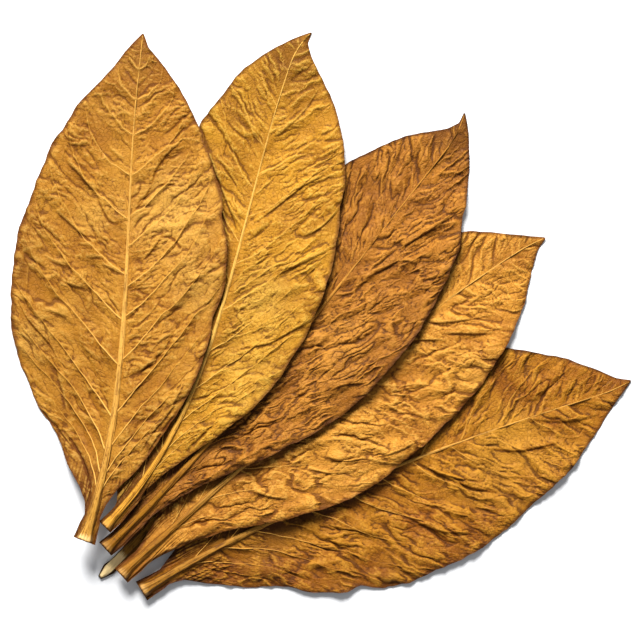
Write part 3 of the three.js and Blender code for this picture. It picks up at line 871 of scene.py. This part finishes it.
def blade_finish(leaf):
    looks = leaf.looks
    n = Nodes(f"{leaf.name} blade")
    place = n.add("ShaderNodeTexCoord").outputs["Object"]
    place = n.add("ShaderNodeMapping", {"Vector": place, "Location": (leaf.seed * 1.3, 0, 0)}).outputs[0]
    hollow, wide_hollow = n.attribute("hollow"), n.attribute("wide_hollow")
    # the broad tone is partly random and partly painted shade, darker in the broad hollows of the relief
    cloudy = n.sum(n.noise(place, 22, 5, 0.65), n.sum(wide_hollow, -0.014, "MULTIPLY"))
    tone = n.blend(n.between(cloudy, 0.36, 0.64), colour(looks.light), colour(looks.deep))
    mottled = n.noise(place, 110, 5, 0.7, 0.8)
    tone = n.blend(n.between(mottled, 0.52, 0.74, 0, 0.2), tone, colour(looks.brown))
    # browner where the blade is stained and where painted shadow is laid, paler where a patch is pale
    patchy = n.sum(n.attribute("stain_and_shade"), n.between(n.noise(place, 70, 5, 0.75), 0.2, 0.8, -0.2, 0.2))
    tone = n.blend(n.between(patchy, 0.1, 2.2, 0, 0.95), tone, colour(looks.brown))
    tone = n.blend(n.between(patchy, -0.1, -1.0, 0, 0.6), tone, colour(looks.crest))
    # painted highlight on the ridges and painted shade in the creases of the relief
    tone = n.blend(n.between(hollow, 0.03, 0.35, 0, 0.4), tone, colour(looks.crest))
    tone = n.blend(n.between(hollow, -0.05, -0.36, 0, 0.75), tone, colour(looks.brown))
    # painted shade: brown lines along a fine net, in patches, where the bump cuts fine creases
    crackle = n.crackle(place, 230)
    fine_crease_shade = n.sum(n.between(crackle, 0.09, 0.0), n.between(n.noise(place, 42, 3), 0.38, 0.62, 0.08, 0.45), "MULTIPLY")
    tone = n.blend(fine_crease_shade, tone, colour(looks.brown))
    margin = n.sum(n.attribute("to_margin"), n.sum(n.noise(place, 60, 3), -7.0, "MULTIPLY"))
    tone = n.blend(n.between(margin, 1.0, -3.6, 0, 0.85), tone, colour(looks.brown))
    n.feed(n.shader.inputs["Base Color"], tone)
    n.feed(n.shader.inputs["Roughness"], n.between(n.noise(place, 120, 3), 0.3, 0.7, 0.5, 0.68))
    n.shader.inputs["Specular IOR Level"].default_value = 0.12
    fine = n.sum(n.noise(place, 600, 4, 0.65, 0.5), n.between(crackle, 0, 0.14, 0, 0.4))
    n.feed(n.shader.inputs["Normal"], n.bump(fine, 0.0006, 1.0))
    return n.material


def vein_finish(leaf):
    n = Nodes(f"{leaf.name} side veins")
    tone = n.blend(n.between(n.attribute("part"), 0.1, 0.9), colour(leaf.looks.vein), colour(leaf.looks.light))
    n.feed(n.shader.inputs["Base Color"], tone)
    n.shader.inputs["Roughness"].default_value = 0.55
    n.shader.inputs["Specular IOR Level"].default_value = 0.12
    return n.material


def rib_finish(leaf):
    looks = leaf.looks
    n = Nodes(f"{leaf.name} rib")
    place = n.add("ShaderNodeTexCoord").outputs["Object"]
    from_butt = n.attribute("from_butt")
    inputs = {"X": n.sum(from_butt, 0.1, "MULTIPLY"), "Y": n.sum(n.attribute("aside"), 4.0, "MULTIPLY")}
    grain = n.add("ShaderNodeCombineXYZ", inputs).outputs[0]
    fibres = n.noise(grain, 1.0, 5, 0.65)
    tone = n.blend(n.between(fibres, 0.4, 0.68, 0, 0.75), colour(looks.rib), colour(looks.deep))
    tone = n.blend(n.between(from_butt, 60, 200, 0, 0.85), tone, colour(looks.vein))
    # painted shade in the rib's lengthwise grooves
    tone = n.blend(n.between(n.attribute("groove"), 0.0, -0.14, 0, 0.75), tone, colour(looks.brown))
    specks = n.between(n.noise(place, 380, 2), 0.58, 0.7, 0, 0.5)
    tone = n.blend(specks, tone, colour(looks.brown))
    cloudy = n.noise(place, 60, 4, 0.6)
    tone = n.blend(n.between(cloudy, 0.5, 0.75, 0, 0.3), tone, colour(looks.brown))
    uneven = n.sum(from_butt, n.sum(fibres, -16.0, "MULTIPLY"))
    tone = n.blend(n.between(uneven, looks.pale_end - 7.5, looks.pale_end - 13, 0, looks.pith), tone, colour(looks.pale))
    tone = n.blend(n.between(from_butt, 2.4, 0.4, 0, 0.85), tone, colour(looks.brown))
    # painted shade on both sides of the rib near the stalk, where the wings beside it shade it
    sides = n.between(n.sum(n.attribute("aside"), n.attribute("aside"), "MULTIPLY"), 0.45, 0.95)
    tone = n.blend(n.sum(sides, n.between(from_butt, 160, 50, 0, 0.8), "MULTIPLY"), tone, colour(looks.brown))
    n.feed(n.shader.inputs["Base Color"], tone)
    n.shader.inputs["Roughness"].default_value = 0.6
    n.shader.inputs["Specular IOR Level"].default_value = 0.12
    n.feed(n.shader.inputs["Normal"], n.bump(fibres, 0.0008, 0.8))
    return n.material


# ---- Setting ----


def set_camera():
    data = bpy.data.cameras.new("camera")
    data.lens = 150
    data.sensor_width = 36
    camera = bpy.data.objects.new("camera", data)
    distance = 0.6016 * data.lens / data.sensor_width
    camera.location = (-0.0007, -0.0035, 0.015 + distance)
    bpy.context.scene.collection.objects.link(camera)
    bpy.context.scene.camera = camera


def set_floor():
    bm = bmesh.new()
    bmesh.ops.create_grid(bm, x_segments=1, y_segments=1, size=4)
    mesh = bpy.data.meshes.new("floor")
    bm.to_mesh(mesh)
    bm.free()
    floor = bpy.data.objects.new("floor", mesh)
    bpy.context.scene.collection.objects.link(floor)
    n = Nodes("floor")
    n.shader.inputs["Base Color"].default_value = (0.74, 0.75, 0.77, 1)
    n.shader.inputs["Roughness"].default_value = 0.9
    n.shader.inputs["Specular IOR Level"].default_value = 0.1
    mesh.materials.append(n.material)


def set_light():
    world = bpy.data.worlds.new("studio")
    bpy.context.scene.world = world
    world.use_nodes = True
    world.node_tree.nodes["Background"].inputs["Color"].default_value = (0.97, 0.98, 1, 1)
    world.node_tree.nodes["Background"].inputs["Strength"].default_value = 0.37
    lamp = bpy.data.lights.new("window", "AREA")
    lamp.shape = "DISK"
    lamp.size = 1.4
    lamp.energy = 247
    lamp.color = (1, 0.99, 0.97)
    light = bpy.data.objects.new("window", lamp)
    light.location = (-0.45, 2.15, 2.05)
    light.rotation_euler = (-light.location.normalized()).to_track_quat("-Z", "Y").to_euler()
    bpy.context.scene.collection.objects.link(light)
    bpy.context.scene.view_settings.view_transform = "Standard"


set_camera()
set_floor()
set_light()
for leaf in LEAVES:
    blade = Blade(leaf)
    finish = blade_finish(leaf)
    for hand in (-1, 1):
        add_half_blade(blade, hand, finish)
    add_side_veins(blade, vein_finish(leaf))
    add_rib(blade, rib_finish(leaf))
